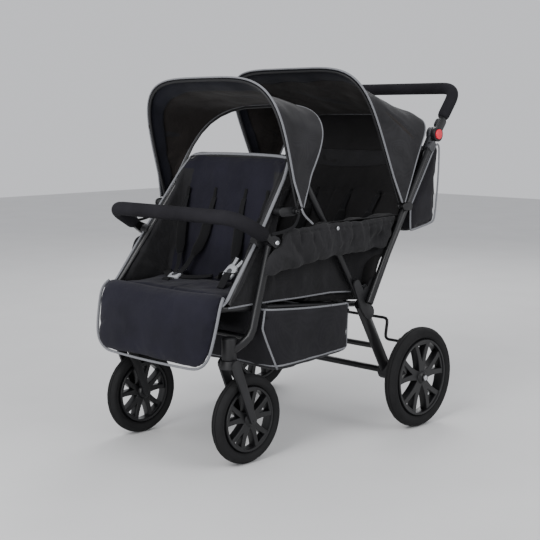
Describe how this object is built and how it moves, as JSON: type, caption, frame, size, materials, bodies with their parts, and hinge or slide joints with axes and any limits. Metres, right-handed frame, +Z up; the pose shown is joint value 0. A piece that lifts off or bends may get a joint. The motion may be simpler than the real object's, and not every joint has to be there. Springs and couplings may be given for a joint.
{
  "type": "stroller",
  "caption": "Folding tandem stroller with two rows of side-by-side seats, hoods, swivelling front wheels, tilting push handle, bumper bar, leg rest, brake bar and under-seat basket.",
  "frame": {"origin": "centre of the footprint's bounding box on the ground under the wheels", "axes": "+Z up, front of the stroller towards -Y, its left-hand nodes towards -X and right-hand nodes towards +X"},
  "size_m": [0.76, 1.084, 1.1131],
  "materials": {
    "tube_black": "satin",
    "plastic_black": "matte",
    "tyre_black": "matte",
    "foam_black": "matte",
    "cloth_charcoal": "matte",
    "cloth_navy": "matte",
    "plastic_red": "satin",
    "plastic_grey": "satin",
    "steel_bright": "brushed"
  },
  "bodies": {
    "chassis": {"seat_frame": "tube_black", "front_hoop": "tube_black", "strut_left": "tube_black", "strut_right": "tube_black", "back_tube_left": "tube_black", "back_tube_right": "tube_black", "front_pivot_bracket_left": "plastic_black", "front_pivot_bracket_right": "plastic_black", "knee_bracket_left": "plastic_black", "knee_bracket_right": "plastic_black", "front_canopy_clamp_left": "plastic_black", "front_canopy_clamp_right": "plastic_black", "rear_canopy_clamp_left": "plastic_black", "rear_canopy_clamp_right": "plastic_black", "front_canopy_rear_bow": "plastic_black", "front_canopy": "cloth_charcoal", "rear_canopy": "cloth_charcoal", "rear_seat_pad": "cloth_charcoal", "rear_backrest": "cloth_charcoal", "storage_bag": "cloth_charcoal", "basket": "cloth_charcoal", "side_panel_left": "cloth_charcoal", "side_panel_right": "cloth_charcoal", "front_seat_sling": "cloth_navy", "front_backrest": "cloth_navy", "handle_joint_left": "plastic_grey", "handle_joint_right": "plastic_grey", "front_pivot_bolt_left": "steel_bright", "front_pivot_bolt_right": "steel_bright"},
    "rear_legs": {"rear_leg_frame": "tube_black", "rear_axle": "tube_black", "axle_housing_left": "plastic_black", "axle_housing_right": "plastic_black"},
    "front_legs": {"front_leg_frame": "tube_black", "caster_housing_left": "plastic_black", "caster_housing_right": "plastic_black"},
    "brake": {"brake_bar": "tube_black"},
    "handle": {"handle_bar": "tube_black", "handle_foam": "foam_black"},
    "bumper": {"bumper_bar": "tube_black", "bumper_foam": "foam_black"},
    "leg_rest": {"leg_rest_frame": "tube_black", "leg_rest_pad": "cloth_navy"},
    "front_hood_bow": {"front_canopy_front_bow": "plastic_black"},
    "rear_hood_bow": {"rear_canopy_front_bow": "plastic_black"},
    "fork_left": {"front_fork_left": "plastic_black"},
    "front_wheel_left": {"front_rim_left": "plastic_black", "front_tyre_left": "tyre_black"},
    "rear_wheel_left": {"rear_rim_left": "plastic_black", "rear_tyre_left": "tyre_black"},
    "button_left": {"handle_button_left": "plastic_red"},
    "latch_left": {"frame_latch_left": "steel_bright"},
    "fork_right": {"front_fork_right": "plastic_black"},
    "front_wheel_right": {"front_rim_right": "plastic_black", "front_tyre_right": "tyre_black"},
    "rear_wheel_right": {"rear_rim_right": "plastic_black", "rear_tyre_right": "tyre_black"},
    "button_right": {"handle_button_right": "plastic_red"},
    "latch_right": {"frame_latch_right": "steel_bright"}
  },
  "joints": [
    {"name": "rear_leg_fold", "type": "hinge", "parent": "chassis", "child": "rear_legs", "pos_m": [0, 0.07608, 0.4], "axis": [-1, 0, 0], "range_deg": [0, 45], "deforming": ["basket"]},
    {"name": "front_leg_fold", "type": "hinge", "parent": "chassis", "child": "front_legs", "pos_m": [0, -0.32792, 0.626], "axis": [1, 0, 0], "range_deg": [0, 27], "deforming": ["basket"]},
    {"name": "brake_press", "type": "hinge", "parent": "rear_legs", "child": "brake", "pos_m": [0, 0.30108, 0.25], "axis": [-1, 0, 0], "range_deg": [0, 25]},
    {"name": "handle_tilt", "type": "hinge", "parent": "chassis", "child": "handle", "pos_m": [0, 0.40408, 0.915], "axis": [1, 0, 0], "range_deg": [-60, 35]},
    {"name": "bumper_lift", "type": "hinge", "parent": "chassis", "child": "bumper", "pos_m": [0, -0.32792, 0.626], "axis": [-1, 0, 0], "range_deg": [0, 70]},
    {"name": "leg_rest_lift", "type": "hinge", "parent": "chassis", "child": "leg_rest", "pos_m": [0, -0.49692, 0.455], "axis": [-1, 0, 0], "range_deg": [0, 60]},
    {"name": "front_hood_fold", "type": "hinge", "parent": "chassis", "child": "front_hood_bow", "pos_m": [0, -0.23392, 0.706], "axis": [-1, 0, 0], "range_deg": [0, 40], "deforming": ["front_canopy"]},
    {"name": "rear_hood_fold", "type": "hinge", "parent": "chassis", "child": "rear_hood_bow", "pos_m": [0, 0.23308, 0.694], "axis": [-1, 0, 0], "range_deg": [0, 42], "deforming": ["rear_canopy"]},
    {"name": "caster_swivel_left", "type": "hinge", "parent": "front_legs", "child": "fork_left", "pos_m": [-0.229, -0.45592, 0.3], "axis": [0, 0, 1], "continuous": true},
    {"name": "front_wheel_spin_left", "type": "hinge", "parent": "fork_left", "child": "front_wheel_left", "pos_m": [-0.229, -0.38892, 0.128], "axis": [1, 0, 0], "continuous": true},
    {"name": "rear_wheel_spin_left", "type": "hinge", "parent": "rear_legs", "child": "rear_wheel_left", "pos_m": [-0.351, 0.25908, 0.158], "axis": [1, 0, 0], "continuous": true},
    {"name": "handle_button_press_left", "type": "slide", "parent": "handle", "child": "button_left", "axis": [1, 0, 0], "range_m": [0, 0.0036], "stiffness_N_per_m": 400, "springref_m": -0.002},
    {"name": "frame_latch_turn_left", "type": "hinge", "parent": "chassis", "child": "latch_left", "pos_m": [-0.262, 0.08308, 0.446], "axis": [1, 0, 0], "range_deg": [0, 25], "stiffness_Nm_per_rad": 0.3, "springref_deg": -11.46},
    {"name": "caster_swivel_right", "type": "hinge", "parent": "front_legs", "child": "fork_right", "pos_m": [0.229, -0.45592, 0.3], "axis": [0, 0, 1], "continuous": true},
    {"name": "front_wheel_spin_right", "type": "hinge", "parent": "fork_right", "child": "front_wheel_right", "pos_m": [0.229, -0.38892, 0.128], "axis": [1, 0, 0], "continuous": true},
    {"name": "rear_wheel_spin_right", "type": "hinge", "parent": "rear_legs", "child": "rear_wheel_right", "pos_m": [0.351, 0.25908, 0.158], "axis": [1, 0, 0], "continuous": true},
    {"name": "handle_button_press_right", "type": "slide", "parent": "handle", "child": "button_right", "axis": [-1, 0, 0], "range_m": [0, 0.0036], "stiffness_N_per_m": 400, "springref_m": -0.002},
    {"name": "frame_latch_turn_right", "type": "hinge", "parent": "chassis", "child": "latch_right", "pos_m": [0.262, 0.08308, 0.446], "axis": [1, 0, 0], "range_deg": [0, 25], "stiffness_Nm_per_rad": 0.3, "springref_deg": -11.46}
  ],
  "couplings": [
    {"joint": "front_leg_fold", "follows": "rear_leg_fold", "ratio": 0.6}
  ]
}
